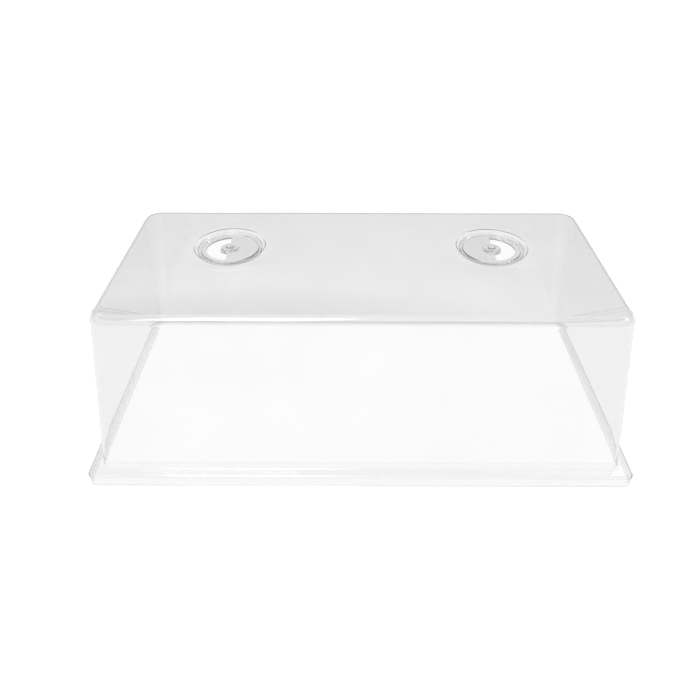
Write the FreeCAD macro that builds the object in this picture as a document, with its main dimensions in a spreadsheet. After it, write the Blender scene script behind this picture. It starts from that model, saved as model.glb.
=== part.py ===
import FreeCAD, Part
import math
import os
import Sketcher

# Humidity dome: a clear, rigid cover for a seedling tray, with two round vents in its roof.
# Units are millimetres and degrees. The origin is the centre of the rim's footprint, on the
# surface that the dome stands on. +X runs along the length, +Y across, +Z up.
# Nodes: dome_shell, and for each side a vent_dial that turns on a vent_pin.

PARTS_FOLDER = "parts"

# The driving dimensions, kept in the document's spreadsheet under these names.
DIMENSIONS = {
    # the whole dome and its sheet
    "overall_length": 546.0,
    "overall_width": 280.0,
    "overall_height": 182.0,
    "wall": 1.4,
    # the walls: a rounded rectangle at the foot, drawn in to a smaller one at the roof
    "wall_inset": 18.0,
    "foot_corner_radius": 9.0,
    "roof_corner_radius": 19.0,
    "roof_fillet": 8.6,
    "foot_fillet": 2.0,
    # the rim: a ledge that sits on the tray's edge, and a skirt that hangs outside it
    "rim_height": 13.5,
    "rim_corner_radius": 9.0,
    "ledge_width": 12.2,
    "bead_depth": 7.5,
    "bead_radius": 3.0,
    "skirt_inset": 0.8,
    "lip_height": 2.6,
    "lip_inset": 0.2,
    "rim_edge_fillet": 0.35,
    # the two vents: a dished seat in the roof, with a half-moon window in its floor
    "vent_spacing": 272.0,
    "vent_offset_y": 27.0,
    "seat_radius": 36.6,
    "seat_floor_radius": 34.8,
    "seat_depth": 5.0,
    "seat_edge_fillet": 0.7,
    "window_outer_radius": 24.5,
    "window_inner_radius": 10.2,
    "window_web": 1.4,
    "window_corner_radius": 1.5,
    # the dial that turns in each seat
    "dial_radius": 33.4,
    "dial_thickness": 1.2,
    "dial_floor_gap": 0.1,
    "dial_rim_height": 2.8,
    "dial_rim_width": 1.3,
    "grip_ring_radius": 30.0,
    "grip_ring_width": 1.2,
    "grip_ring_height": 2.1,
    "hub_radius": 8.7,
    "hub_height": 2.6,
    "dial_edge_fillet": 0.4,
    # the snap pin that holds the dial down
    "pin_radius": 2.5,
    "pin_clearance": 0.08,
    "pin_head_radius": 4.6,
    "pin_head_edge": 0.5,
    "pin_head_height": 1.6,
    "pin_head_gap": 0.1,
    "barb_radius": 3.2,
    "barb_gap": 0.1,
    "barb_length": 3.6,
    "pin_tip_radius": 1.5,
    "pin_slot_width": 0.9,
}

SIDES = {"left": -1, "right": 1}

# How close two numbers are to count as the same place, when edges are picked.
SAME_PLACE = 0.02


# ---------------------------------------------------------------- document and sheet

def make_sheet(document):
    """The spreadsheet that holds the driving dimensions, one named cell in each row."""
    sheet = document.addObject("Spreadsheet::Sheet", "Size")
    for row, (name, number) in enumerate(DIMENSIONS.items(), 1):
        sheet.set("A%d" % row, name)
        sheet.set("B%d" % row, str(number))
        sheet.setAlias("B%d" % row, name)
    document.recompute()
    return sheet


document = FreeCAD.newDocument("humidity_dome")
sheet = make_sheet(document)


def bind(feature, **expressions):
    """Bind properties of a feature to expressions on the sheet."""
    for name, expression in expressions.items():
        feature.setExpression(name, expression)


def number(expression):
    """The value that an expression on the sheet has now."""
    return float(sheet.evalExpression(expression))


# ---------------------------------------------------------------- derived sizes

FOOT_LENGTH = "(Size.overall_length - 2 * Size.ledge_width)"
FOOT_WIDTH = "(Size.overall_width - 2 * Size.ledge_width)"
SKIRT_INNER_INSET = "(Size.skirt_inset + Size.wall)"
BEAD_BOTTOM = "(Size.rim_height - Size.bead_depth)"
SEAT_FLOOR = "(Size.overall_height - Size.seat_depth)"
LEDGE_UNDERSIDE = "(Size.rim_height - Size.wall)"
PIN_HEAD_UNDERSIDE = "(Size.dial_floor_gap + Size.hub_height + Size.pin_head_gap)"
BARB_TOP = "(Size.wall + Size.barb_gap)"


def vent_x(side):
    """Expression for a vent centre's place along the length."""
    return "%d * Size.vent_spacing / 2" % SIDES[side]


# ---------------------------------------------------------------- sketch helpers

def origin_plane(body, role):
    """One of the body's own origin planes."""
    return next(plane for plane in body.Origin.OriginFeatures if plane.Role == role)


def attach(feature, body, offset, role):
    """Fix a sketch or primitive to the body's own plane, moved by three expressions."""
    feature.AttachmentSupport = [(origin_plane(body, role), "")]
    feature.MapMode = "FlatFace"
    for axis, expression in zip("xyz", offset):
        feature.setExpression("AttachmentOffset.Base." + axis, expression)


def new_sketch(body, name, offset=("0", "0", "0"), role="XY_Plane"):
    """An empty sketch on the body's own plane."""
    sketch = body.newObject("Sketcher::SketchObject", name)
    attach(sketch, body, offset, role)
    return sketch


def dimension(sketch, name, expression, kind, *where):
    """Add a named dimension to a sketch and bind it to an expression."""
    index = sketch.addConstraint(Sketcher.Constraint(kind, *where, number(expression)))
    sketch.renameConstraint(index, name)
    sketch.setExpression("Constraints." + name, expression)


def relate(sketch, kind, *where):
    """Add a geometric relation to a sketch."""
    sketch.addConstraint(Sketcher.Constraint(kind, *where))


def draw_rounded_rectangle(sketch, length, width, corner_radius):
    """A rounded rectangle centred on the sketch's origin, from three expressions."""
    half_length = number(length) / 2
    half_width = number(width) / 2
    radius = number(corner_radius)
    flat_x = half_length - radius
    flat_y = half_width - radius
    ends = [
        ((-flat_x, -half_width), (flat_x, -half_width)),
        ((half_length, -flat_y), (half_length, flat_y)),
        ((flat_x, half_width), (-flat_x, half_width)),
        ((-half_length, flat_y), (-half_length, -flat_y)),
    ]
    centres = [(flat_x, -flat_y), (flat_x, flat_y), (-flat_x, flat_y), (-flat_x, -flat_y)]
    lines = []
    arcs = []
    for quarter, (start, end) in enumerate(ends):
        line = Part.LineSegment(FreeCAD.Vector(*start, 0), FreeCAD.Vector(*end, 0))
        lines.append(sketch.addGeometry(line))
        circle = Part.Circle(FreeCAD.Vector(*centres[quarter], 0), FreeCAD.Vector(0, 0, 1), radius)
        turn = (quarter - 1) * math.pi / 2
        arcs.append(sketch.addGeometry(Part.ArcOfCircle(circle, turn, turn + math.pi / 2)))
    for quarter in range(4):
        relate(sketch, "Tangent", lines[quarter], 2, arcs[quarter], 1)
        relate(sketch, "Tangent", arcs[quarter], 2, lines[(quarter + 1) % 4], 1)
        relate(sketch, "Horizontal" if quarter % 2 == 0 else "Vertical", lines[quarter])
    for arc in arcs[1:]:
        relate(sketch, "Equal", arcs[0], arc)
    relate(sketch, "Symmetric", arcs[0], 3, arcs[2], 3, -1, 1)
    dimension(sketch, "corner_radius", corner_radius, "Radius", arcs[0])
    dimension(sketch, "length", length, "DistanceX", lines[3], 1, lines[1], 1)
    dimension(sketch, "width", width, "DistanceY", lines[0], 1, lines[2], 1)


def draw_circle(sketch, name, radius):
    """A circle about the sketch's origin."""
    shape = Part.Circle(FreeCAD.Vector(0, 0, 0), FreeCAD.Vector(0, 0, 1), number(radius))
    circle = sketch.addGeometry(shape)
    relate(sketch, "Coincident", circle, 3, -1, 1)
    dimension(sketch, name, radius, "Radius", circle)


def draw_half_moon(sketch, side):
    """A vent window: half a ring on one side of the Y axis, a web's width away from it."""
    facing = SIDES[side]
    web = facing * number("Size.window_web")
    arcs = []
    tops = []
    for radius in (number("Size.window_outer_radius"), number("Size.window_inner_radius")):
        top = math.sqrt(radius ** 2 - web ** 2)
        reach = math.atan2(top, abs(web))
        middle = 0 if facing > 0 else math.pi
        circle = Part.Circle(FreeCAD.Vector(0, 0, 0), FreeCAD.Vector(0, 0, 1), radius)
        arcs.append(sketch.addGeometry(Part.ArcOfCircle(circle, middle - reach, middle + reach)))
        tops.append(top)
    outer, inner = arcs
    for end, sign in ((1, -facing), (2, facing)):
        start = FreeCAD.Vector(web, sign * tops[0], 0)
        finish = FreeCAD.Vector(web, sign * tops[1], 0)
        edge = sketch.addGeometry(Part.LineSegment(start, finish))
        relate(sketch, "Coincident", edge, 1, outer, end)
        relate(sketch, "Coincident", edge, 2, inner, end)
        relate(sketch, "Vertical", edge)
        expression = "%d * Size.window_web" % facing
        dimension(sketch, "web_%d" % end, expression, "DistanceX", -1, 1, edge, 1)
    for arc in arcs:
        relate(sketch, "Coincident", arc, 3, -1, 1)
    dimension(sketch, "outer_radius", "Size.window_outer_radius", "Radius", outer)
    dimension(sketch, "inner_radius", "Size.window_inner_radius", "Radius", inner)


# ---------------------------------------------------------------- feature helpers

def pad(body, name, sketch, length):
    """Add the sketch's area upwards by a length."""
    feature = body.newObject("PartDesign::Pad", name)
    feature.Profile = sketch
    bind(feature, Length=length)
    document.recompute()
    return feature


def pocket(body, name, sketch, length, upwards=False):
    """Cut the sketch's area away, downwards unless told otherwise, and check that it cuts."""
    volume_before = body.Shape.Volume
    feature = body.newObject("PartDesign::Pocket", name)
    feature.Profile = sketch
    feature.Reversed = upwards
    bind(feature, Length=length)
    document.recompute()
    if not body.Shape.Volume < volume_before:
        raise RuntimeError(name + " cuts nothing")
    return feature


def loft(body, name, lower_sketch, upper_sketch):
    """Join two outlines by straight walls."""
    feature = body.newObject("PartDesign::AdditiveLoft", name)
    feature.Profile = lower_sketch
    feature.Sections = [upper_sketch]
    feature.Ruled = True
    document.recompute()
    return feature


def cone(body, kind, name, offset, lower_radius, upper_radius, height):
    """A cone's frustum on a vertical axis, added to the body or cut from it."""
    feature = body.newObject("PartDesign::" + kind, name)
    attach(feature, body, offset, "XY_Plane")
    bind(feature, Radius1=lower_radius, Radius2=upper_radius, Height=height)
    document.recompute()
    return feature


def fillet(body, name, radius, chosen):
    """Round those edges of the body's last feature that pass a test."""
    base = body.Tip
    names = ["Edge%d" % index for index, edge in enumerate(base.Shape.Edges, 1) if chosen(edge)]
    if not names:
        raise RuntimeError(name + " finds no edge")
    feature = body.newObject("PartDesign::Fillet", name)
    feature.Base = (base, names)
    bind(feature, Radius=radius)
    document.recompute()
    return feature


def at_height(edge, height):
    """True for an edge that lies flat at a height."""
    box = edge.BoundBox
    return abs(box.ZMin - height) < SAME_PLACE and abs(box.ZMax - height) < SAME_PLACE


def within(edge, length, width):
    """True for an edge that nowhere passes a rectangle centred on the origin."""
    box = edge.BoundBox
    reach_x = max(abs(box.XMin), abs(box.XMax))
    reach_y = max(abs(box.YMin), abs(box.YMax))
    return reach_x < length / 2 + SAME_PLACE and reach_y < width / 2 + SAME_PLACE


def is_circle(edge, radius):
    """True for a round edge of a given radius."""
    return isinstance(edge.Curve, Part.Circle) and abs(edge.Curve.Radius - radius) < SAME_PLACE


def is_upright(edge):
    """True for an edge that runs straight up."""
    box = edge.BoundBox
    return box.XLength < SAME_PLACE and box.YLength < SAME_PLACE and box.ZLength > SAME_PLACE


# ---------------------------------------------------------------- the dome shell

def add_rim_layer(body, name, inset, bottom, height):
    """A layer of the rim's outer shape: the overall outline drawn in by an inset."""
    sketch = new_sketch(body, name + "_outline", ("0", "0", bottom))
    draw_rounded_rectangle(
        sketch,
        "Size.overall_length - 2 * " + inset,
        "Size.overall_width - 2 * " + inset,
        "Size.rim_corner_radius - " + inset,
    )
    pad(body, name, sketch, height)


def add_rim_block(body):
    """The rim as a solid block: a skirt, with a thicker bead at its top and a lip at its bottom."""
    add_rim_layer(body, "skirt", "Size.skirt_inset", "0", "Size.rim_height")
    add_rim_layer(body, "bead", "0", BEAD_BOTTOM, "Size.bead_depth")
    add_rim_layer(body, "lip", "Size.lip_inset", "0", "Size.lip_height")
    ledge_top = number("Size.rim_height")
    fillet(body, "bead_round", "Size.bead_radius", lambda edge: at_height(edge, ledge_top))
    skirt_length = number("Size.overall_length - 2 * Size.skirt_inset")
    skirt_width = number("Size.overall_width - 2 * Size.skirt_inset")
    step_levels = (number(BEAD_BOTTOM), number("Size.lip_height"))

    def is_step_edge(edge):
        stands_out = not within(edge, skirt_length, skirt_width)
        return stands_out and any(at_height(edge, level) for level in step_levels)

    fillet(body, "rim_step_rounds", "Size.rim_edge_fillet", is_step_edge)


def add_walls_block(body):
    """The four leaning walls and the roof, as a solid block on top of the rim."""
    foot = new_sketch(body, "foot_outline", ("0", "0", "Size.rim_height"))
    draw_rounded_rectangle(foot, FOOT_LENGTH, FOOT_WIDTH, "Size.foot_corner_radius")
    roof = new_sketch(body, "roof_outline", ("0", "0", "Size.overall_height"))
    draw_rounded_rectangle(
        roof,
        FOOT_LENGTH + " - 2 * Size.wall_inset",
        FOOT_WIDTH + " - 2 * Size.wall_inset",
        "Size.roof_corner_radius",
    )
    loft(body, "walls", foot, roof)
    roof_top = number("Size.overall_height")
    fillet(body, "roof_round", "Size.roof_fillet", lambda edge: at_height(edge, roof_top))
    ledge_top = number("Size.rim_height")
    foot_length = number(FOOT_LENGTH)
    foot_width = number(FOOT_WIDTH)

    def is_foot_edge(edge):
        return at_height(edge, ledge_top) and within(edge, foot_length, foot_width)

    fillet(body, "foot_round", "Size.foot_fillet", is_foot_edge)


def hollow_rim(body):
    """Open the rim from below, up to the ledge's underside."""
    inside = new_sketch(body, "rim_inside_outline")
    draw_rounded_rectangle(
        inside,
        "Size.overall_length - 2 * " + SKIRT_INNER_INSET,
        "Size.overall_width - 2 * " + SKIRT_INNER_INSET,
        "Size.rim_corner_radius - " + SKIRT_INNER_INSET,
    )
    pocket(body, "rim_inside", inside, LEDGE_UNDERSIDE, upwards=True)
    ceiling = number(LEDGE_UNDERSIDE)
    inner_radius = "Size.bead_radius - Size.wall"
    fillet(body, "rim_inside_round", inner_radius, lambda edge: at_height(edge, ceiling))


def make_dome_core():
    """The space inside the dome as a solid, one sheet's thickness smaller than the walls all round."""
    core = document.addObject("PartDesign::Body", "dome_core")
    foot = new_sketch(core, "core_foot_outline", ("0", "0", LEDGE_UNDERSIDE))
    draw_rounded_rectangle(
        foot,
        FOOT_LENGTH + " - 2 * Size.wall",
        FOOT_WIDTH + " - 2 * Size.wall",
        "Size.foot_corner_radius - Size.wall",
    )
    roof = new_sketch(core, "core_roof_outline", ("0", "0", "Size.overall_height - Size.wall"))
    draw_rounded_rectangle(
        roof,
        FOOT_LENGTH + " - 2 * (Size.wall_inset + Size.wall)",
        FOOT_WIDTH + " - 2 * (Size.wall_inset + Size.wall)",
        "Size.roof_corner_radius - Size.wall",
    )
    loft(core, "core_walls", foot, roof)
    ceiling = number("Size.overall_height - Size.wall")
    inner_radius = "Size.roof_fillet - Size.wall"
    fillet(core, "core_roof_round", inner_radius, lambda edge: at_height(edge, ceiling))
    return core


def hollow_walls(body):
    """Cut the dome's inside away and round the lower edge that this leaves at the walls' foot."""
    volume_before = body.Shape.Volume
    cut = body.newObject("PartDesign::Boolean", "dome_inside")
    cut.Type = "Cut"
    cut.Group = [make_dome_core()]
    document.recompute()
    if not body.Shape.Volume < volume_before / 2:
        raise RuntimeError("the dome is not hollow")
    ledge_underside = number(LEDGE_UNDERSIDE)
    foot_length = number(FOOT_LENGTH)
    foot_width = number(FOOT_WIDTH)

    def is_inner_foot_edge(edge):
        return at_height(edge, ledge_underside) and within(edge, foot_length, foot_width)

    fillet(body, "foot_inside_round", "Size.foot_fillet + Size.wall", is_inner_foot_edge)


def add_vent_seat(body, side):
    """One dished seat in the roof, with its half-moon window and the hole for its pin."""
    seat_bottom = (vent_x(side), "Size.vent_offset_y", SEAT_FLOOR + " - Size.wall")
    seat_floor = (vent_x(side), "Size.vent_offset_y", SEAT_FLOOR)
    cone(
        body,
        "AdditiveCone",
        "seat_cup_" + side,
        seat_bottom,
        "Size.seat_floor_radius + Size.wall",
        "Size.seat_radius + Size.wall",
        "Size.seat_depth + Size.wall",
    )
    cone(
        body,
        "SubtractiveCone",
        "seat_dish_" + side,
        seat_floor,
        "Size.seat_floor_radius",
        "Size.seat_radius",
        "Size.seat_depth",
    )
    window = new_sketch(body, "seat_window_outline_" + side, seat_floor)
    draw_half_moon(window, side)
    pocket(body, "seat_window_" + side, window, "2 * Size.wall")
    hole = new_sketch(body, "pin_hole_outline_" + side, seat_floor)
    draw_circle(hole, "radius", "Size.pin_radius")
    pocket(body, "pin_hole_" + side, hole, "2 * Size.wall")


def round_vent_seats(body):
    """Soften the seats' upper edges and the corners of their windows."""
    seat_radius = number("Size.seat_radius")
    seat_floor = number(SEAT_FLOOR)
    vent_away = number("Size.vent_spacing / 2")
    vent_offset = number("Size.vent_offset_y")
    pin_hole_reach = number("Size.pin_radius") + SAME_PLACE

    def is_seat_edge(edge):
        return is_circle(edge, seat_radius)

    def is_window_corner(edge):
        middle = edge.CenterOfMass
        from_axis = math.hypot(abs(middle.x) - vent_away, middle.y - vent_offset)
        reaches_floor = abs(edge.BoundBox.ZMax - seat_floor) < SAME_PLACE
        return is_upright(edge) and reaches_floor and from_axis > pin_hole_reach

    fillet(body, "seat_edge_rounds", "Size.seat_edge_fillet", is_seat_edge)
    fillet(body, "seat_window_rounds", "Size.window_corner_radius", is_window_corner)


def make_dome_shell():
    """The dome: one moulded sheet of rim, walls, roof and the two vent seats."""
    body = document.addObject("PartDesign::Body", "dome_shell")
    add_rim_block(body)
    add_walls_block(body)
    hollow_rim(body)
    hollow_walls(body)
    for side in SIDES:
        add_vent_seat(body, side)
    round_vent_seats(body)
    return body


# ---------------------------------------------------------------- the vent dials

def place_on_vent(body, side, height):
    """Put a body's origin on a vent's axis at a height."""
    body.setExpression("Placement.Base.x", vent_x(side))
    body.setExpression("Placement.Base.y", "Size.vent_offset_y")
    body.setExpression("Placement.Base.z", height)

def add_ring(body, name, outer_radius, width, height):
    """A raised ring on the dial's plate."""
    sketch = new_sketch(body, name + "_outline")
    draw_circle(sketch, "outer_radius", outer_radius)
    draw_circle(sketch, "inner_radius", "%s - %s" % (outer_radius, width))
    pad(body, name, sketch, height)


def make_vent_dial(side):
    """A round shutter whose half-moon window stands over the seat's when the vent is open."""
    body = document.addObject("PartDesign::Body", "vent_dial_" + side)
    plate = new_sketch(body, "plate_outline")
    draw_circle(plate, "radius", "Size.dial_radius")
    pad(body, "plate", plate, "Size.dial_thickness")
    add_ring(body, "rim", "Size.dial_radius", "Size.dial_rim_width", "Size.dial_rim_height")
    grip = ("Size.grip_ring_radius", "Size.grip_ring_width", "Size.grip_ring_height")
    add_ring(body, "grip_ring", *grip)
    hub = new_sketch(body, "hub_outline")
    draw_circle(hub, "radius", "Size.hub_radius")
    pad(body, "hub", hub, "Size.hub_height")
    heights = ("dial_rim_height", "grip_ring_height", "hub_height")
    top_levels = [number("Size." + height) for height in heights]

    def is_top_edge(edge):
        return any(at_height(edge, level) for level in top_levels)

    fillet(body, "top_rounds", "Size.dial_edge_fillet", is_top_edge)
    window = new_sketch(body, "window_outline", ("0", "0", "Size.hub_height"))
    draw_half_moon(window, side)
    pocket(body, "window", window, "2 * Size.hub_height")
    fillet(body, "window_rounds", "Size.window_corner_radius", is_upright)
    bore = new_sketch(body, "bore_outline", ("0", "0", "Size.hub_height"))
    draw_circle(bore, "radius", "Size.pin_radius + Size.pin_clearance")
    pocket(body, "bore", bore, "2 * Size.hub_height")
    place_on_vent(body, side, SEAT_FLOOR + " + Size.dial_floor_gap")
    return body


# ---------------------------------------------------------------- the vent pins

def draw_pin_profile(sketch):
    """Half of the pin's section: a domed head, a shank and a barbed tip below the seat's floor."""
    shank = number("Size.pin_radius")
    head_radius = number("Size.pin_head_radius")
    head_bottom = number(PIN_HEAD_UNDERSIDE)
    head_edge = head_bottom + number("Size.pin_head_edge")
    head_top = head_bottom + number("Size.pin_head_height")
    barb_top = -number(BARB_TOP)
    tip = barb_top - number("Size.barb_length")
    corners = [
        (0, tip),
        (number("Size.pin_tip_radius"), tip),
        (number("Size.barb_radius"), barb_top),
        (shank, barb_top),
        (shank, head_bottom),
        (head_radius, head_bottom),
        (head_radius, head_edge),
    ]
    points = [FreeCAD.Vector(x, y, 0) for x, y in corners]
    edges = [sketch.addGeometry(Part.LineSegment(a, b)) for a, b in zip(points, points[1:])]
    rise = head_top - head_edge
    crown_radius = (head_radius ** 2 + rise ** 2) / (2 * rise)
    crown_centre = FreeCAD.Vector(0, head_top - crown_radius, 0)
    circle = Part.Circle(crown_centre, FreeCAD.Vector(0, 0, 1), crown_radius)
    crown_start = math.atan2(head_edge - head_top + crown_radius, head_radius)
    crown = sketch.addGeometry(Part.ArcOfCircle(circle, crown_start, math.pi / 2))
    axis = sketch.addGeometry(Part.LineSegment(FreeCAD.Vector(0, head_top, 0), points[0]))
    for first, second in zip(edges, edges[1:]):
        relate(sketch, "Coincident", first, 2, second, 1)
    relate(sketch, "Coincident", edges[-1], 2, crown, 1)
    relate(sketch, "Coincident", crown, 2, axis, 1)
    relate(sketch, "Coincident", axis, 2, edges[0], 1)
    for edge in (edges[0], edges[2], edges[4]):
        relate(sketch, "Horizontal", edge)
    for edge in (edges[3], edges[5]):
        relate(sketch, "Vertical", edge)
    relate(sketch, "PointOnObject", axis, 1, -2)
    relate(sketch, "PointOnObject", axis, 2, -2)
    relate(sketch, "PointOnObject", crown, 3, -2)
    dimension(sketch, "tip_radius", "Size.pin_tip_radius", "DistanceX", -1, 1, edges[0], 2)
    dimension(sketch, "barb_radius", "Size.barb_radius", "DistanceX", -1, 1, edges[1], 2)
    dimension(sketch, "shank_radius", "Size.pin_radius", "DistanceX", -1, 1, edges[3], 1)
    dimension(sketch, "head_radius", "Size.pin_head_radius", "DistanceX", -1, 1, edges[4], 2)
    dimension(sketch, "barb_length", "Size.barb_length", "DistanceY", edges[0], 2, edges[1], 2)
    dimension(sketch, "barb_depth", BARB_TOP, "DistanceY", edges[2], 1, -1, 1)
    dimension(sketch, "head_underside", PIN_HEAD_UNDERSIDE, "DistanceY", -1, 1, edges[4], 1)
    dimension(sketch, "head_edge", "Size.pin_head_edge", "DistanceY", edges[5], 1, edges[5], 2)
    dimension(sketch, "head_height", "Size.pin_head_height", "DistanceY", edges[4], 1, axis, 1)


def draw_slot(sketch):
    """A long rectangle through the pin's axis, which splits its tip into two springy legs."""
    length = "2 * (Size.barb_radius + Size.pin_slot_width)"
    half_length = number(length) / 2
    half_width = number("Size.pin_slot_width") / 2
    corners = [(-1, -1), (1, -1), (1, 1), (-1, 1)]
    points = [FreeCAD.Vector(x * half_length, y * half_width, 0) for x, y in corners]
    edges = []
    for start, end in zip(points, points[1:] + points[:1]):
        edges.append(sketch.addGeometry(Part.LineSegment(start, end)))
    for quarter in range(4):
        relate(sketch, "Coincident", edges[quarter], 2, edges[(quarter + 1) % 4], 1)
        relate(sketch, "Horizontal" if quarter % 2 == 0 else "Vertical", edges[quarter])
    relate(sketch, "Symmetric", edges[0], 1, edges[2], 1, -1, 1)
    dimension(sketch, "length", length, "DistanceX", edges[0], 1, edges[0], 2)
    dimension(sketch, "width", "Size.pin_slot_width", "DistanceY", edges[1], 1, edges[1], 2)


def make_vent_pin(side):
    """A snap pin pressed into the seat's floor, whose head keeps the dial in its seat."""
    body = document.addObject("PartDesign::Body", "vent_pin_" + side)
    profile = new_sketch(body, "profile", role="XZ_Plane")
    draw_pin_profile(profile)
    turned = body.newObject("PartDesign::Revolution", "turned")
    turned.Profile = profile
    turned.ReferenceAxis = (profile, ["V_Axis"])
    turned.Angle = 360
    document.recompute()
    slot = new_sketch(body, "slot_outline", ("0", "0", "-Size.wall"))
    draw_slot(slot)
    pocket(body, "slot", slot, "Size.barb_gap + Size.barb_length")
    place_on_vent(body, side, SEAT_FLOOR)
    return body


# ---------------------------------------------------------------- check and write

def check_document():
    """Stop if any object failed to build."""
    for item in document.Objects:
        if "Invalid" in item.State or "Error" in item.State:
            raise RuntimeError("%s is %s" % (item.Name, item.State))


def check_shape(body):
    """Stop unless the body is one valid solid."""
    if body.Shape.isNull() or not body.Shape.isValid():
        raise RuntimeError(body.Label + " has no valid shape")
    if len(body.Shape.Solids) != 1:
        raise RuntimeError("%s has %d solids" % (body.Label, len(body.Shape.Solids)))


bodies = [make_dome_shell()]
for side in SIDES:
    bodies.append(make_vent_dial(side))
    bodies.append(make_vent_pin(side))
document.recompute()
check_document()
os.makedirs(PARTS_FOLDER, exist_ok=True)
for body in bodies:
    check_shape(body)
    body.Shape.exportStep(os.path.join(PARTS_FOLDER, body.Label + ".step"))
    print("%s volume %.0f mm3" % (body.Label, body.Shape.Volume))
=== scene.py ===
import math

import bmesh
import bpy
from mathutils import Matrix, Vector, noise
from mathutils.geometry import delaunay_2d_cdt


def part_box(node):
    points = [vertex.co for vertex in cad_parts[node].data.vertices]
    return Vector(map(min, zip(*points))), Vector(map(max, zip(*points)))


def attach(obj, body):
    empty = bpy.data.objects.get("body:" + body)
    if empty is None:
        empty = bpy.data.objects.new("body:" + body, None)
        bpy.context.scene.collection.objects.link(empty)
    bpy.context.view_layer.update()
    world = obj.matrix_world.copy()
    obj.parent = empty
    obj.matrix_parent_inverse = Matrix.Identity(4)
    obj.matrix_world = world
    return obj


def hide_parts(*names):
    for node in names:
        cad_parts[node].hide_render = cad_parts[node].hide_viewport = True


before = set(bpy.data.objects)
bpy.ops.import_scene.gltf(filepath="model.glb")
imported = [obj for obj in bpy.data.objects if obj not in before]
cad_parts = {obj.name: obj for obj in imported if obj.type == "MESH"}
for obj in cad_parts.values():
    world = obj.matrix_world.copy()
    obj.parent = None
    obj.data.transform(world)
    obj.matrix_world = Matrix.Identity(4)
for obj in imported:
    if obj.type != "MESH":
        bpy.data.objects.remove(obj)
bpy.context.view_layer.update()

# Humidity dome: a clear moulded sheet with a stepped rim, and two round vents in its roof.
# Metres, in the frame's own axes: +X along the length, +Y across, +Z up.

# ---------------------------------------------------------------- sizes from the frame

MM = 0.001
SIDES = {"left": -1, "right": 1}

shell_low, shell_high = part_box("dome_shell")
HALF_LENGTH = (shell_high.x - shell_low.x) / 2
HALF_WIDTH = (shell_high.y - shell_low.y) / 2
ROOF_TOP = shell_high.z

dial_low, dial_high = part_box("vent_dial_right")
VENT_AWAY = (dial_low.x + dial_high.x) / 2
VENT_Y = (dial_low.y + dial_high.y) / 2
DIAL_RADIUS = (dial_high.x - dial_low.x) / 2
DIAL_BOTTOM = dial_low.z
DIAL_TOP = dial_high.z

# ---------------------------------------------------------------- the shell's own sizes

WALL = 1.4 * MM
WALL_INSET = 18 * MM
FOOT_CORNER = 9 * MM
ROOF_CORNER = 19 * MM
ROOF_ROUND = 8.6 * MM
FOOT_ROUND = 2 * MM
RIM_HEIGHT = 13.5 * MM
RIM_CORNER = 9 * MM
LEDGE_WIDTH = 12.2 * MM
BEAD_BOTTOM = 6 * MM
BEAD_ROUND = 3 * MM
SKIRT_INSET = 0.8 * MM
LIP_HEIGHT = 2.6 * MM
LIP_INSET = 0.2 * MM
SMALL_ROUND = 0.35 * MM

SEAT_RADIUS = 36.6 * MM
SEAT_FLOOR_RADIUS = 34.8 * MM
SEAT_DEPTH = 5 * MM
SEAT_SHEET = 0.7 * MM
SEAT_EDGE_ROUND = 1.2 * MM
SEAT_TAPER = 16 * MM
SEAT_CORNER_ROUND = 0.6 * MM

# The slight unevenness of a large moulding, and how far it takes to fade in.
WAVE_DEPTH = 0.35 * MM
WAVE_LENGTH = 0.11
WAVE_START = Vector((3.7, 1.9, 5.3))
WAVE_SEED = 5
WAVE_FADE = 0.045
FLAT_ROUND_VENT = 0.042

WINDOW_OUTER = 24.5 * MM
WINDOW_INNER = 10.2 * MM
WINDOW_WEB = 1.4 * MM
WINDOW_CORNER = 1.5 * MM
PIN_RADIUS = 2.5 * MM
PIN_CLEARANCE = 0.08 * MM

DIAL_PLATE = 0.9 * MM
DIAL_RIM_WIDTH = 0.65 * MM
GRIP_RADIUS = 30 * MM
GRIP_WIDTH = 0.65 * MM
GRIP_HEIGHT = 1.6 * MM
HUB_RADIUS = 8.7 * MM
HUB_HEIGHT = 2.6 * MM
DIAL_ROUND = 0.3 * MM
DIAL_EDGE_ROUND = 0.2 * MM
RING_ROOT = 0.3 * MM

PLATE_TOP = DIAL_BOTTOM + DIAL_PLATE
GRIP_TOP = DIAL_BOTTOM + GRIP_HEIGHT
HUB_TOP = DIAL_BOTTOM + HUB_HEIGHT
DIAL_BORE = PIN_RADIUS + PIN_CLEARANCE

# A narrow flat strip beside each rounded edge, which keeps the shading of the flat beyond it flat.
SUPPORT = 0.4 * MM

# How finely outlines are divided.
CORNER_STEPS = 36
LONG_SIDE_STEPS = 72
SHORT_SIDE_STEPS = 36
WALL_STEPS = 28
CIRCLE_STEPS = 128
ROUND_STEPS = 22
FOOT_ROUND_STEPS = 8
SMALL_ROUND_STEPS = 4
BEAD_OUTSIDE_STEPS = 10
BEAD_INSIDE_STEPS = 8
SEAT_ROUND_STEPS = 8
WINDOW_OUTER_STEPS = 24
WINDOW_INNER_STEPS = 10
WINDOW_CORNER_STEPS = 5
DIAL_ROUND_STEPS = 5
DIAL_EDGE_STEPS = 3

# The grid of points inside a flat plate. The clearance and the stagger are shares of its spacing.
PLATE_SPACING = 11 * MM
DISC_SPACING = 4 * MM
EDGE_CLEARANCE = 0.5
ROW_STAGGER = 0.5

SHARP_ANGLE = math.radians(40)
WELD_DISTANCE = 0.002 * MM


# ---------------------------------------------------------------- outlines

def clamped(value):
    """A value held between 0 and 1."""
    return min(max(value, 0), 1)


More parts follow.
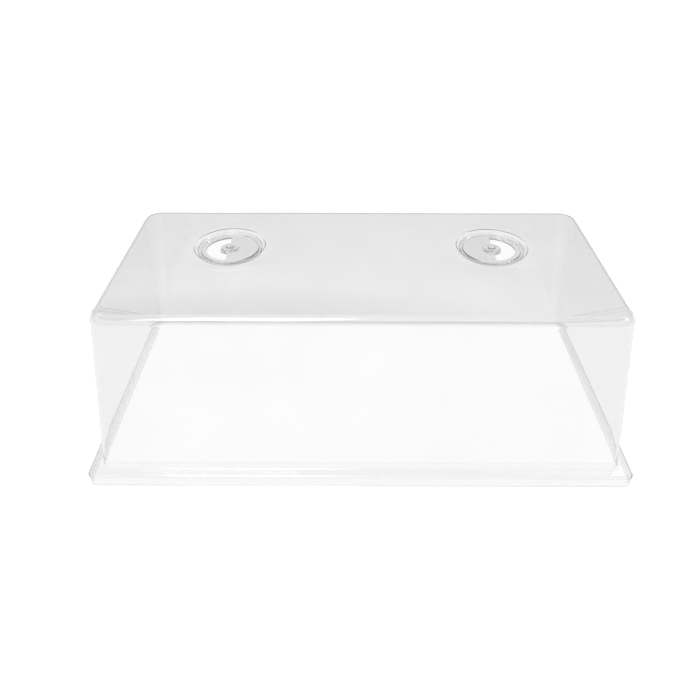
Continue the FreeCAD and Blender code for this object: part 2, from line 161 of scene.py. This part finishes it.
def rounded_rectangle(half_x, half_y, radius):
    """Points anticlockwise round a rectangle with rounded corners, always the same number.

    Each corner comes with the straight side that follows it.
    """
    points = []
    corners = (
        (1, -1, -90, half_y, SHORT_SIDE_STEPS),
        (1, 1, 0, half_x, LONG_SIDE_STEPS),
        (-1, 1, 90, half_y, SHORT_SIDE_STEPS),
        (-1, -1, 180, half_x, LONG_SIDE_STEPS),
    )
    for sign_x, sign_y, start, half_side, steps in corners:
        centre = Vector((sign_x * (half_x - radius), sign_y * (half_y - radius)))
        for step in range(CORNER_STEPS + 1):
            angle = math.radians(start + 90 * step / CORNER_STEPS)
            points.append(centre + radius * Vector((math.cos(angle), math.sin(angle))))
        corner_end = points[-1]
        finish = math.radians(start + 90)
        along = Vector((-math.sin(finish), math.cos(finish)))
        side = 2 * (half_side - radius)
        for step in range(1, steps):
            points.append(corner_end + along * side * step / steps)
    return points


def circle(radius, centre=(0, 0)):
    """Points anticlockwise round a circle."""
    turns = [2 * math.pi * step / CIRCLE_STEPS for step in range(CIRCLE_STEPS)]
    return [Vector(centre) + radius * Vector((math.cos(turn), math.sin(turn))) for turn in turns]


def arc_points(centre, radius, start, end, steps):
    """Points along an arc, both ends included. Angles are in radians."""
    points = []
    for step in range(steps + 1):
        angle = start + (end - start) * step / steps
        points.append(Vector(centre) + radius * Vector((math.cos(angle), math.sin(angle))))
    return points


def half_moon(side, centre=(0, 0)):
    """Outline of a vent's window: half a ring beside the web, with rounded corners."""
    straight = WINDOW_WEB + WINDOW_CORNER
    outer_y = math.sqrt((WINDOW_OUTER - WINDOW_CORNER) ** 2 - straight ** 2)
    inner_y = math.sqrt((WINDOW_INNER + WINDOW_CORNER) ** 2 - straight ** 2)
    outer_reach = math.atan2(outer_y, straight)
    inner_reach = math.atan2(inner_y, straight)
    corner_steps = WINDOW_CORNER_STEPS
    upper = arc_points((0, 0), WINDOW_OUTER, 0, outer_reach, WINDOW_OUTER_STEPS)[:-1]
    upper += arc_points((straight, outer_y), WINDOW_CORNER, outer_reach, math.pi, corner_steps)
    upper += arc_points((straight, inner_y), WINDOW_CORNER, math.pi, math.pi + inner_reach, corner_steps)
    upper += arc_points((0, 0), WINDOW_INNER, inner_reach, 0, WINDOW_INNER_STEPS)[1:]
    lower = [Vector((point.x, -point.y)) for point in reversed(upper[1:-1])]
    facing = SIDES[side]
    return [Vector(centre) + Vector((facing * point.x, point.y)) for point in upper + lower]


def profile_arc(centre, radius, start, end, steps=ROUND_STEPS):
    """An arc of a section's profile. Angles are in degrees, from outwards towards up."""
    return arc_points(centre, radius, math.radians(start), math.radians(end), steps)


# ---------------------------------------------------------------- mesh building

def add_ring(mesh, outline, height):
    """A closed loop of vertices at a height."""
    return [mesh.verts.new((point.x, point.y, height)) for point in outline]


def bridge(mesh, first, second):
    """Quads between two rings that have the same number of vertices."""
    count = len(first)
    for index in range(count):
        following = (index + 1) % count
        mesh.faces.new((first[index], first[following], second[following], second[index]))


def bridge_all(mesh, rings):
    """Quads between each ring and the next."""
    for first, second in zip(rings, rings[1:]):
        bridge(mesh, first, second)


def turn_profile(mesh, profile, centre):
    """Turn a profile of (radius, height) points about an upright axis."""
    bridge_all(mesh, [add_ring(mesh, circle(radius, centre), height) for radius, height in profile])


def is_inside(point, outline):
    """True for a point inside a closed outline."""
    inside = False
    previous = outline[-1]
    for corner in outline:
        if (corner.y > point.y) != (previous.y > point.y):
            share = (point.y - corner.y) / (previous.y - corner.y)
            if point.x < corner.x + share * (previous.x - corner.x):
                inside = not inside
        previous = corner
    return inside


def is_on_plate(point, outline, holes):
    """True for a point inside an outline and outside its holes."""
    return is_inside(point, outline) and not any(is_inside(point, hole) for hole in holes)


def loop_edges(loops):
    """Pairs of point numbers round each closed loop, counted on from loop to loop."""
    edges = []
    start = 0
    for loop in loops:
        count = len(loop)
        edges += [(start + index, start + (index + 1) % count) for index in range(count)]
        start += count
    return edges


def grid_points(outline, holes, spacing):
    """Staggered rows of points over a plate, clear of its outline and its holes."""
    edge_points = [point for loop in [outline] + holes for point in loop]
    low = Vector((min(p.x for p in outline), min(p.y for p in outline)))
    high = Vector((max(p.x for p in outline), max(p.y for p in outline)))
    rows = int((high.y - low.y) / spacing)
    columns = int((high.x - low.x) / spacing)
    points = []
    for row in range(1, rows):
        stagger = ROW_STAGGER * (row % 2)
        for column in range(1, columns):
            point = low + spacing * Vector((column + stagger, row))
            clear = all((point - other).length > EDGE_CLEARANCE * spacing for other in edge_points)
            if clear and is_on_plate(point, outline, holes):
                points.append(point)
    return points


def fill_plate(mesh, outline, holes, height, spacing):
    """Fill the flat area between an outline and its holes with even triangles."""
    loops = [outline] + holes
    points = [point for loop in loops for point in loop] + grid_points(outline, holes, spacing)
    corners, _, triangles, *_ = delaunay_2d_cdt(points, loop_edges(loops), [], 0, WELD_DISTANCE)
    verts = [mesh.verts.new((corner.x, corner.y, height)) for corner in corners]
    for triangle in triangles:
        middle = sum((corners[index] for index in triangle), Vector((0, 0))) / 3
        if is_on_plate(middle, outline, holes):
            mesh.faces.new([verts[index] for index in triangle])
    loose = [vert for vert in verts if not vert.link_faces]
    bmesh.ops.delete(mesh, geom=loose, context="VERTS")


def finish_mesh(mesh, name, shape=None):
    """Weld, orient and shade a mesh, and make an object of it. shape moves each vertex, if given."""
    bmesh.ops.remove_doubles(mesh, verts=mesh.verts, dist=WELD_DISTANCE)
    bmesh.ops.recalc_face_normals(mesh, faces=mesh.faces)
    open_edges = [edge for edge in mesh.edges if len(edge.link_faces) != 2]
    if open_edges:
        raise RuntimeError("%s has %d open edges" % (name, len(open_edges)))
    for face in mesh.faces:
        face.smooth = True
    for edge in mesh.edges:
        edge.smooth = edge.calc_face_angle(0) < SHARP_ANGLE
    if shape:
        for vert in mesh.verts:
            vert.co = shape(vert.co)
    data = bpy.data.meshes.new(name)
    mesh.to_mesh(data)
    mesh.free()
    piece = bpy.data.objects.new(name, data)
    bpy.context.scene.collection.objects.link(piece)
    return piece


# ---------------------------------------------------------------- the dome's shell

def wall_tangent(centre_height, distance):
    """Inset of a point at a height that lies a distance inside the walls' outer face."""
    lean = math.atan2(WALL_INSET, ROOF_TOP - RIM_HEIGHT)
    along = (centre_height - RIM_HEIGHT) * math.tan(lean)
    return LEDGE_WIDTH + along + distance / math.cos(lean)


def sheet_profile(depth):
    """Section of the sheet from the ledge to the roof, at a depth below its outer face.

    Each point is (inset from the overall outline, height, corner radius of the loop there).
    """
    lean = math.degrees(math.atan2(WALL_INSET, ROOF_TOP - RIM_HEIGHT))
    foot_radius = FOOT_ROUND + depth
    foot_height = RIM_HEIGHT + FOOT_ROUND
    foot_inset = wall_tangent(foot_height, -FOOT_ROUND)
    roof_radius = ROOF_ROUND - depth
    roof_height = ROOF_TOP - ROOF_ROUND
    roof_inset = wall_tangent(roof_height, ROOF_ROUND)
    foot = profile_arc((foot_inset, foot_height), foot_radius, -90, -lean, FOOT_ROUND_STEPS)
    roof = profile_arc((roof_inset, roof_height), roof_radius, 180 - lean, 90)
    ledge = [Vector((foot_inset - SUPPORT, foot_height - foot_radius))]
    wall = [foot[-1].lerp(roof[0], step / WALL_STEPS) for step in range(1, WALL_STEPS)]
    top = [Vector((roof_inset + SUPPORT, roof_height + roof_radius))]
    loops = []
    for inset, height in ledge + foot + wall + roof + top:
        share = clamped((height - RIM_HEIGHT) / (ROOF_TOP - RIM_HEIGHT))
        wall_corner = FOOT_CORNER + share * (ROOF_CORNER - FOOT_CORNER)
        off_wall = inset - wall_tangent(height, 0)
        loops.append((inset, height, wall_corner - off_wall))
    return loops


def small_arc(centre, start, end):
    """One of the rim's small rounds."""
    return profile_arc(centre, SMALL_ROUND, start, end, SMALL_ROUND_STEPS)


def rim_profile_outside():
    """Section of the rim's outside, from its foot to the ledge, with the same three values."""
    points = small_arc((LIP_INSET + SMALL_ROUND, SMALL_ROUND), 270, 180)
    points += small_arc((LIP_INSET + SMALL_ROUND, LIP_HEIGHT - SMALL_ROUND), 180, 90)
    points += [Vector((SKIRT_INSET, LIP_HEIGHT)), Vector((SKIRT_INSET, BEAD_BOTTOM))]
    points += small_arc((SMALL_ROUND, BEAD_BOTTOM + SMALL_ROUND), 270, 180)
    bead_centre = (BEAD_ROUND, RIM_HEIGHT - BEAD_ROUND)
    points += profile_arc(bead_centre, BEAD_ROUND, 180, 90, BEAD_OUTSIDE_STEPS)
    points.append(Vector((BEAD_ROUND + SUPPORT, RIM_HEIGHT)))
    return [(inset, height, RIM_CORNER - inset) for inset, height in points]


def rim_profile_inside():
    """Section of the rim's inside, from its foot to the underside of the ledge."""
    inside = SKIRT_INSET + WALL
    radius = BEAD_ROUND - WALL
    points = small_arc((inside - SMALL_ROUND, SMALL_ROUND), 270, 360)
    bead_centre = (inside + radius, RIM_HEIGHT - WALL - radius)
    points += profile_arc(bead_centre, radius, 180, 90, BEAD_INSIDE_STEPS)
    points.append(Vector((inside + radius + SUPPORT, RIM_HEIGHT - WALL)))
    return [(inset, height, RIM_CORNER - inset) for inset, height in points]


def loop_outline(inset, corner_radius):
    """A loop of the shell, drawn in from the overall outline."""
    return rounded_rectangle(HALF_LENGTH - inset, HALF_WIDTH - inset, corner_radius)


def seat_profile(below):
    """Section of a vent's seat from the roof down to its floor, as (radius, height) points.

    The sheet is drawn thinner here, and thins out in the roof beside the seat. below asks for
    its underside.
    """
    sheet = SEAT_SHEET if below else 0
    roof = ROOF_TOP - sheet
    floor = ROOF_TOP - SEAT_DEPTH - sheet
    lean = math.atan2(SEAT_RADIUS - SEAT_FLOOR_RADIUS, SEAT_DEPTH)
    edge_radius = SEAT_EDGE_ROUND - sheet
    corner_radius = SEAT_CORNER_ROUND + sheet
    run = math.tan((math.pi / 2 - lean) / 2)

    def cone_radius(height):
        rise = height - (ROOF_TOP - SEAT_DEPTH)
        return SEAT_FLOOR_RADIUS + rise * math.tan(lean) + sheet / math.cos(lean)

    edge_centre = (cone_radius(roof) + edge_radius * run, roof - edge_radius)
    corner_centre = (cone_radius(floor) - corner_radius * run, floor + corner_radius)
    slope = math.degrees(lean)
    edge = profile_arc(edge_centre, edge_radius, 90, 180 - slope, SEAT_ROUND_STEPS)
    corner = profile_arc(corner_centre, corner_radius, -slope, -90, SEAT_ROUND_STEPS)
    full_sheet = ROOF_TOP - WALL if below else ROOF_TOP
    taper = edge_centre[0] + SEAT_TAPER
    outer = [Vector((taper + SUPPORT, full_sheet)), Vector((taper, full_sheet))]
    inner = Vector((corner_centre[0] - SUPPORT, floor))
    return outer + edge + corner + [inner]


def add_seat(mesh, side, below):
    """One face of a vent's seat, above or below the sheet. Returns its outline in the roof."""
    centre = (SIDES[side] * VENT_AWAY, VENT_Y)
    profile = seat_profile(below)
    turn_profile(mesh, profile, centre)
    floor_radius, floor_height = profile[-1]
    holes = [half_moon(side, centre), circle(PIN_RADIUS, centre)]
    fill_plate(mesh, circle(floor_radius, centre), holes, floor_height, DISC_SPACING)
    return circle(profile[0].x, centre)


def add_seat_openings(mesh, side):
    """The upright edges of a seat's window and of its pin's hole."""
    centre = (SIDES[side] * VENT_AWAY, VENT_Y)
    top = ROOF_TOP - SEAT_DEPTH
    for outline in (half_moon(side, centre), circle(PIN_RADIUS, centre)):
        bridge(mesh, add_ring(mesh, outline, top), add_ring(mesh, outline, top - SEAT_SHEET))


def vent_distance(point):
    """Distance along the roof from a point to the nearer vent's axis."""
    return math.hypot(abs(point.x) - VENT_AWAY, point.y - VENT_Y)


def waved(point):
    """A point of the sheet, moved by the slight unevenness of a large moulding.

    The rim and the roof round each vent stay true.
    """
    above_rim = clamped((point.z - RIM_HEIGHT) / WAVE_FADE)
    off_vent = clamped((vent_distance(point) - FLAT_ROUND_VENT) / WAVE_FADE)
    near_roof = clamped((point.z - ROOF_TOP + WAVE_FADE) / WAVE_FADE)
    strength = WAVE_DEPTH * above_rim * (off_vent * near_roof + 1 - near_roof)
    place = point / WAVE_LENGTH + WAVE_START
    return point + strength * noise.noise_vector(place)


def make_dome():
    """The dome's sheet: rim, walls, roof and the two vents' seats, closed all over."""
    noise.seed_set(WAVE_SEED)
    mesh = bmesh.new()
    outside = rim_profile_outside() + sheet_profile(0)
    inside = rim_profile_inside() + sheet_profile(WALL)
    loops = list(reversed(inside)) + outside
    rings = [add_ring(mesh, loop_outline(inset, corner), height) for inset, height, corner in loops]
    bridge_all(mesh, rings)
    for below, profile in ((False, outside), (True, inside)):
        inset, height, corner = profile[-1]
        seats = [add_seat(mesh, side, below) for side in SIDES]
        fill_plate(mesh, loop_outline(inset, corner), seats, height, PLATE_SPACING)
    for side in SIDES:
        add_seat_openings(mesh, side)
    dome = finish_mesh(mesh, "dome_sheet", waved)
    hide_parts("dome_shell")
    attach(dome, "dome")
    return dome


# ---------------------------------------------------------------- the vent dials

def outer_crest(radius, top):
    """Rounded outer edge of a raised ring's top, as part of its section."""
    return profile_arc((radius - DIAL_ROUND, top - DIAL_ROUND), DIAL_ROUND, 0, 90, DIAL_ROUND_STEPS)


def outer_side(radius, top):
    """Outside of a raised ring's section, from the dial's plate up to its top."""
    root = [Vector((radius + RING_ROOT, PLATE_TOP)), Vector((radius, PLATE_TOP + RING_ROOT))]
    return root + outer_crest(radius, top)


def inner_side(radius, top):
    """Inside of a raised ring's section, from its top down to the dial's plate."""
    centre = (radius + DIAL_ROUND, top - DIAL_ROUND)
    crest = profile_arc(centre, DIAL_ROUND, 90, 180, DIAL_ROUND_STEPS)
    return crest + [Vector((radius, PLATE_TOP + RING_ROOT)), Vector((radius - RING_ROOT, PLATE_TOP))]


def dial_outer_profile():
    """Section of a dial from its underside round its rim, over the grip ring to the plate."""
    edge_radius = DIAL_RADIUS - DIAL_EDGE_ROUND
    edge_centre = (edge_radius, DIAL_BOTTOM + DIAL_EDGE_ROUND)
    underside = Vector((edge_radius - SUPPORT, DIAL_BOTTOM))
    edge = profile_arc(edge_centre, DIAL_EDGE_ROUND, -90, 0, DIAL_EDGE_STEPS)
    rim = outer_crest(DIAL_RADIUS, DIAL_TOP) + inner_side(DIAL_RADIUS - DIAL_RIM_WIDTH, DIAL_TOP)
    grip = outer_side(GRIP_RADIUS, GRIP_TOP) + inner_side(GRIP_RADIUS - GRIP_WIDTH, GRIP_TOP)
    return [underside] + edge + rim + grip + [Vector((grip[-1].x - SUPPORT, PLATE_TOP))]


def dial_hub_profile():
    """Section of a dial from its plate over the hub and down its bore to the underside."""
    hub = outer_side(HUB_RADIUS, HUB_TOP)
    lead_in_centre = (DIAL_BORE + DIAL_EDGE_ROUND, HUB_TOP - DIAL_EDGE_ROUND)
    lead_in = profile_arc(lead_in_centre, DIAL_EDGE_ROUND, 90, 180, DIAL_EDGE_STEPS)
    foot = [Vector((DIAL_BORE, DIAL_BOTTOM)), Vector((DIAL_BORE + SUPPORT, DIAL_BOTTOM))]
    return [Vector((hub[0].x + SUPPORT, PLATE_TOP))] + hub + lead_in + foot


def make_dial(side):
    """A vent's dial: a plate with a raised rim, a grip ring, a hub and a half-moon window."""
    mesh = bmesh.new()
    centre = (SIDES[side] * VENT_AWAY, VENT_Y)
    outer = dial_outer_profile()
    hub = dial_hub_profile()
    turn_profile(mesh, outer, centre)
    turn_profile(mesh, hub, centre)
    window = half_moon(side, centre)
    faces = ((outer[-1], hub[0], PLATE_TOP), (outer[0], hub[-1], DIAL_BOTTOM))
    for outside, inside, height in faces:
        holes = [circle(inside.x, centre), window]
        fill_plate(mesh, circle(outside.x, centre), holes, height, DISC_SPACING)
    bridge(mesh, add_ring(mesh, window, PLATE_TOP), add_ring(mesh, window, DIAL_BOTTOM))
    dial = finish_mesh(mesh, side + "_dial_disc")
    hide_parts("vent_dial_" + side)
    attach(dial, side + "_dial")
    return dial


# ---------------------------------------------------------------- materials

SHELL_IOR = 1.58
VENT_IOR = 1.4
PIN_IOR = 1.4

# How much light the plastics take up, per metre of its way inside them.
SHELL_ABSORPTION = 24
VENT_ABSORPTION = 8
PIN_ABSORPTION = 20

# The least and the greatest roughness of each plastic, and where its noises start.
SHELL_ROUGHNESS = (0.0, 0.04)
VENT_ROUGHNESS = (0.01, 0.07)
PIN_ROUGHNESS = (0.02, 0.09)
SHELL_SEED = 2.1
VENT_SEED = 4.7
PIN_SEED = 8.3

PASSED_ON = (0.97, 0.97, 0.97)
CLOUDY = (0.938, 0.938, 0.938)
CLEAREST = (0.962, 0.962, 0.962)
# Painted shade: a darker colour on the end walls and upright corners, standing in for the shade they
# take at a grazing view.
END_WALL_PAINTED_SHADE = (0.915, 0.915, 0.915)

# Each noise's features per metre, its detail, and the middle of its values that is spread out.
CLOUD_SCALE = 14
CLOUD_DETAIL = 3
CLOUD_SPREAD = (0.3, 0.7)
SMUDGE_SCALE = 38
SMUDGE_DETAIL = 5
SMUDGE_SPREAD = (0.45, 0.75)
RIPPLE_SCALE = 260
RIPPLE_DETAIL = 2
RIPPLE_DEPTH = 0.01 * MM
RIPPLE_STRENGTH = 0.5

# How far lengthways a surface has to face before the painted shade starts, and where it is full.
END_WALL_FACING = (0.35, 0.95)


def new_material(name):
    """An empty node material and its output node."""
    material = bpy.data.materials.new(name)
    material.use_nodes = True
    tree = material.node_tree
    tree.nodes.clear()
    return material, tree, tree.nodes.new("ShaderNodeOutputMaterial")


def add_noise(tree, scale, detail, offset=(0, 0, 0)):
    """Noise over the object's own coordinates, in features per metre."""
    coords = tree.nodes.new("ShaderNodeTexCoord")
    mapping = tree.nodes.new("ShaderNodeMapping")
    mapping.inputs["Location"].default_value = offset
    texture = tree.nodes.new("ShaderNodeTexNoise")
    texture.inputs["Scale"].default_value = scale
    texture.inputs["Detail"].default_value = detail
    tree.links.new(coords.outputs["Object"], mapping.inputs["Vector"])
    tree.links.new(mapping.outputs["Vector"], texture.inputs["Vector"])
    return texture.outputs["Fac"]


def add_range(tree, source, given, wanted):
    """Turn a given range of values, a pair of numbers, into a wanted one."""
    spread = tree.nodes.new("ShaderNodeMapRange")
    spread.inputs["From Min"].default_value = given[0]
    spread.inputs["From Max"].default_value = given[1]
    spread.inputs["To Min"].default_value = wanted[0]
    spread.inputs["To Max"].default_value = wanted[1]
    tree.links.new(source, spread.inputs["Value"])
    return spread.outputs["Result"]


def add_mix(tree, share, first, second):
    """A colour that goes from the first to the second as a share goes from 0 to 1."""
    mix = tree.nodes.new("ShaderNodeMix")
    mix.data_type = "RGBA"
    mix.inputs["A"].default_value = (*first, 1)
    mix.inputs["B"].default_value = (*second, 1)
    tree.links.new(share, mix.inputs["Factor"])
    return mix.outputs["Result"]


def add_maths(tree, operation, first, second):
    """One step of arithmetic on a value, with another value or a number."""
    step = tree.nodes.new("ShaderNodeMath")
    step.operation = operation
    tree.links.new(first, step.inputs[0])
    if isinstance(second, (int, float)):
        step.inputs[1].default_value = second
    else:
        tree.links.new(second, step.inputs[1])
    return step.outputs[0]


def add_painted_wall_shade(tree, colour):
    """Darken a colour a little on the dome's end walls and their upright corners, as painted shade for
    the darker tone they take at a grazing view.
    """
    coords = tree.nodes.new("ShaderNodeTexCoord")
    normal = tree.nodes.new("ShaderNodeSeparateXYZ")
    tree.links.new(coords.outputs["Normal"], normal.inputs["Vector"])
    place = tree.nodes.new("ShaderNodeSeparateXYZ")
    tree.links.new(coords.outputs["Object"], place.inputs["Vector"])
    lengthways = add_maths(tree, "ABSOLUTE", normal.outputs["X"], 0)
    end_walls = add_range(tree, lengthways, END_WALL_FACING, (0, 1))
    seat_floor = ROOF_TOP - SEAT_DEPTH
    off_seats = add_range(tree, place.outputs["Z"], (seat_floor - MM, seat_floor), (1, 0))
    mix = tree.nodes.new("ShaderNodeMix")
    mix.data_type = "RGBA"
    mix.inputs["B"].default_value = (*END_WALL_PAINTED_SHADE, 1)
    tree.links.new(add_maths(tree, "MULTIPLY", end_walls, off_seats), mix.inputs["Factor"])
    tree.links.new(colour, mix.inputs["A"])
    return mix.outputs["Result"]


def add_shader(tree, ior, roughness, seed, paint_wall_shade):
    """The plastic itself, with faint clouds, smudges and ripple, and painted shade on the end walls if
    asked.
    """
    shader = tree.nodes.new("ShaderNodeBsdfPrincipled")
    shader.inputs["IOR"].default_value = ior
    shader.inputs["Transmission Weight"].default_value = 1.0
    clouds = add_noise(tree, CLOUD_SCALE, CLOUD_DETAIL, (seed, 0, 0))
    colour = add_mix(tree, add_range(tree, clouds, CLOUD_SPREAD, (0, 1)), CLOUDY, CLEAREST)
    # Painted shade on the end walls and upright corners.
    if paint_wall_shade:
        colour = add_painted_wall_shade(tree, colour)
    tree.links.new(colour, shader.inputs["Base Color"])
    smudges = add_noise(tree, SMUDGE_SCALE, SMUDGE_DETAIL, (0, seed, 0))
    haze = add_range(tree, smudges, SMUDGE_SPREAD, roughness)
    tree.links.new(haze, shader.inputs["Roughness"])
    bump = tree.nodes.new("ShaderNodeBump")
    bump.inputs["Distance"].default_value = RIPPLE_DEPTH
    bump.inputs["Strength"].default_value = RIPPLE_STRENGTH
    ripple = add_noise(tree, RIPPLE_SCALE, RIPPLE_DETAIL, (0, 0, seed))
    tree.links.new(ripple, bump.inputs["Height"])
    tree.links.new(bump.outputs["Normal"], shader.inputs["Normal"])
    return shader


def let_lamps_through(tree, shader):
    """A shader that is plainly see-through to shadow and diffuse rays, and as given to the rest."""
    open_shader = tree.nodes.new("ShaderNodeBsdfTransparent")
    open_shader.inputs["Color"].default_value = (*PASSED_ON, 1)
    path = tree.nodes.new("ShaderNodeLightPath")
    either = add_maths(tree, "MAXIMUM", path.outputs["Is Shadow Ray"], path.outputs["Is Diffuse Ray"])
    mix = tree.nodes.new("ShaderNodeMixShader")
    tree.links.new(either, mix.inputs[0])
    tree.links.new(shader.outputs[0], mix.inputs[1])
    tree.links.new(open_shader.outputs[0], mix.inputs[2])
    return mix


def clear_plastic(name, ior, absorption, roughness, seed, paint_wall_shade=False):
    """Clear moulded plastic, darker the further light runs inside it."""
    material, tree, output = new_material(name)
    surface = let_lamps_through(tree, add_shader(tree, ior, roughness, seed, paint_wall_shade))
    tree.links.new(surface.outputs[0], output.inputs["Surface"])
    inner = tree.nodes.new("ShaderNodeVolumeAbsorption")
    inner.inputs["Color"].default_value = (0, 0, 0, 1)
    inner.inputs["Density"].default_value = absorption
    tree.links.new(inner.outputs["Volume"], output.inputs["Volume"])
    return material


def dress_pieces(dome, dials):
    """Give the sheet, the dials and the pins their plastics."""
    # The sheet's plastic carries painted shade on its end walls.
    shell = clear_plastic(
        "dome_plastic", SHELL_IOR, SHELL_ABSORPTION, SHELL_ROUGHNESS, SHELL_SEED, paint_wall_shade=True
    )
    dome.data.materials.append(shell)
    dial_plastic = clear_plastic("dial_plastic", VENT_IOR, VENT_ABSORPTION, VENT_ROUGHNESS, VENT_SEED)
    for dial in dials:
        dial.data.materials.append(dial_plastic)
    pin_plastic = clear_plastic("pin_plastic", PIN_IOR, PIN_ABSORPTION, PIN_ROUGHNESS, PIN_SEED)
    for side in SIDES:
        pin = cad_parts["vent_pin_" + side]
        pin.data.materials.clear()
        pin.data.materials.append(pin_plastic)


# ---------------------------------------------------------------- the studio

FLOOR_REACH = 9
FLOOR_GLOW = 0.98
FLOOR_COLOUR = 0.1
SOFTBOX_SIZE = (0.58, 1.25)
SOFTBOX_PLACE = Vector((-0.375, -0.46, 1.6))
SOFTBOX_TURN = math.radians(-14)
SOFTBOX_RADIANCE = 3.0
SIDE_LIGHT_SIZE = (0.35, 0.35)
SIDE_LIGHT_PLACE = Vector((1.5, 0.15, 1.25))
SIDE_LIGHT_RADIANCE = 5.0

# The surround's brightness against the sine of the elevation.
SURROUND = (
    (0.0, 0.45),
    (0.485, 0.48),
    (0.5225, 0.63),
    (0.55, 0.2),
    (0.562, 0.06),
    (0.59, 1.25),
    (0.67, 1.25),
    (0.72, 0.3),
    (1.0, 0.42),
)
SURROUND_TILT = math.radians(3.0)


def add_surround_ramp(tree, peak):
    """A ramp of the surround's brightness, as shares of its peak."""
    ramp = tree.nodes.new("ShaderNodeValToRGB")
    stops = ramp.color_ramp.elements
    while len(stops) < len(SURROUND):
        stops.new(0.5)
    for stop, (position, brightness) in zip(stops, SURROUND):
        share = brightness / peak
        stop.position = position
        stop.color = (share, share, share, 1)
    return ramp


def make_world():
    """A dim surround: pale walls, with a dark band and a bright one, and a grey ceiling."""
    world = bpy.data.worlds.new("studio")
    bpy.context.scene.world = world
    world.use_nodes = True
    tree = world.node_tree
    tree.nodes.clear()
    output = tree.nodes.new("ShaderNodeOutputWorld")
    background = tree.nodes.new("ShaderNodeBackground")
    coords = tree.nodes.new("ShaderNodeTexCoord")
    tilt = tree.nodes.new("ShaderNodeMapping")
    tilt.inputs["Rotation"].default_value = (0, SURROUND_TILT, 0)
    split = tree.nodes.new("ShaderNodeSeparateXYZ")
    peak = max(brightness for _, brightness in SURROUND)
    background.inputs["Strength"].default_value = peak
    ramp = add_surround_ramp(tree, peak)
    tree.links.new(coords.outputs["Generated"], tilt.inputs["Vector"])
    tree.links.new(tilt.outputs["Vector"], split.inputs["Vector"])
    tree.links.new(split.outputs["Z"], ramp.inputs["Fac"])
    tree.links.new(ramp.outputs["Color"], background.inputs["Color"])
    tree.links.new(background.outputs[0], output.inputs["Surface"])


def make_floor():
    """A wide lit white table."""
    data = bpy.data.meshes.new("floor")
    signs = ((-1, -1), (1, -1), (1, 1), (-1, 1))
    corners = [(sign_x * FLOOR_REACH, sign_y * FLOOR_REACH, 0) for sign_x, sign_y in signs]
    data.from_pydata(corners, [], [(0, 1, 2, 3)])
    floor = bpy.data.objects.new("floor", data)
    bpy.context.scene.collection.objects.link(floor)
    material, tree, output = new_material("floor_white")
    shader = tree.nodes.new("ShaderNodeBsdfPrincipled")
    shader.inputs["Base Color"].default_value = (FLOOR_COLOUR, FLOOR_COLOUR, FLOOR_COLOUR, 1)
    shader.inputs["Roughness"].default_value = 1.0
    shader.inputs["Specular IOR Level"].default_value = 0.0
    shader.inputs["Emission Color"].default_value = (1, 1, 1, 1)
    shader.inputs["Emission Strength"].default_value = FLOOR_GLOW
    tree.links.new(shader.outputs[0], output.inputs["Surface"])
    data.materials.append(material)


def make_lamp(name, size, place, turn, radiance):
    """A soft rectangular light of a given radiance. It faces down, or the dome if turn is None."""
    data = bpy.data.lights.new(name, "AREA")
    data.shape = "RECTANGLE"
    data.size, data.size_y = size
    data.energy = radiance * math.pi * data.size * data.size_y
    lamp = bpy.data.objects.new(name, data)
    if turn is None:
        facing = place.to_track_quat("Z", "Y").to_matrix().to_4x4()
    else:
        facing = Matrix.Rotation(turn, 4, "Z")
    lamp.matrix_world = Matrix.Translation(place) @ facing
    bpy.context.scene.collection.objects.link(lamp)


def make_lamps():
    """A soft box above the dome to its left, and a small lamp to its right."""
    make_lamp("softbox", SOFTBOX_SIZE, SOFTBOX_PLACE, SOFTBOX_TURN, SOFTBOX_RADIANCE)
    make_lamp("side_light", SIDE_LIGHT_SIZE, SIDE_LIGHT_PLACE, None, SIDE_LIGHT_RADIANCE)


# The camera's lens and sensor are in millimetres, its place in metres, its angles in radians.
SENSOR_WIDTH = 36.0
LENS = 32.80
CLIP_START = 0.01
CAMERA_PLACE = Vector((-0.0095, -0.5650, 0.4981))
CAMERA_PITCH = 0.6533
CAMERA_YAW = 0.0026
CAMERA_ROLL = 0.0015


def make_camera():
    """A camera above the front, looking along +Y and down."""
    data = bpy.data.cameras.new("camera")
    data.sensor_width = SENSOR_WIDTH
    data.lens = LENS
    data.clip_start = CLIP_START
    camera = bpy.data.objects.new("camera", data)
    level = Matrix.Rotation(math.pi / 2, 4, "X")
    pitch = Matrix.Rotation(-CAMERA_PITCH, 4, "X")
    yaw = Matrix.Rotation(CAMERA_YAW, 4, "Z")
    roll = Matrix.Rotation(CAMERA_ROLL, 4, "Z")
    camera.matrix_world = Matrix.Translation(CAMERA_PLACE) @ yaw @ pitch @ level @ roll
    bpy.context.scene.collection.objects.link(camera)
    bpy.context.scene.camera = camera


CLEAR_BOUNCES = 24
GLOSSY_BOUNCES = 12
OPEN_BOUNCES = 32


def set_light_paths():
    """Enough bounces for light to pass every wall of the dome, twice over."""
    scene = bpy.context.scene
    scene.view_settings.view_transform = "Standard"
    scene.cycles.max_bounces = CLEAR_BOUNCES
    scene.cycles.transmission_bounces = CLEAR_BOUNCES
    scene.cycles.glossy_bounces = GLOSSY_BOUNCES
    scene.cycles.transparent_max_bounces = OPEN_BOUNCES
    scene.cycles.caustics_reflective = False
    scene.cycles.caustics_refractive = False


# ---------------------------------------------------------------- all together

make_camera()
set_light_paths()
make_world()
make_floor()
make_lamps()
dress_pieces(make_dome(), [make_dial(side) for side in SIDES])
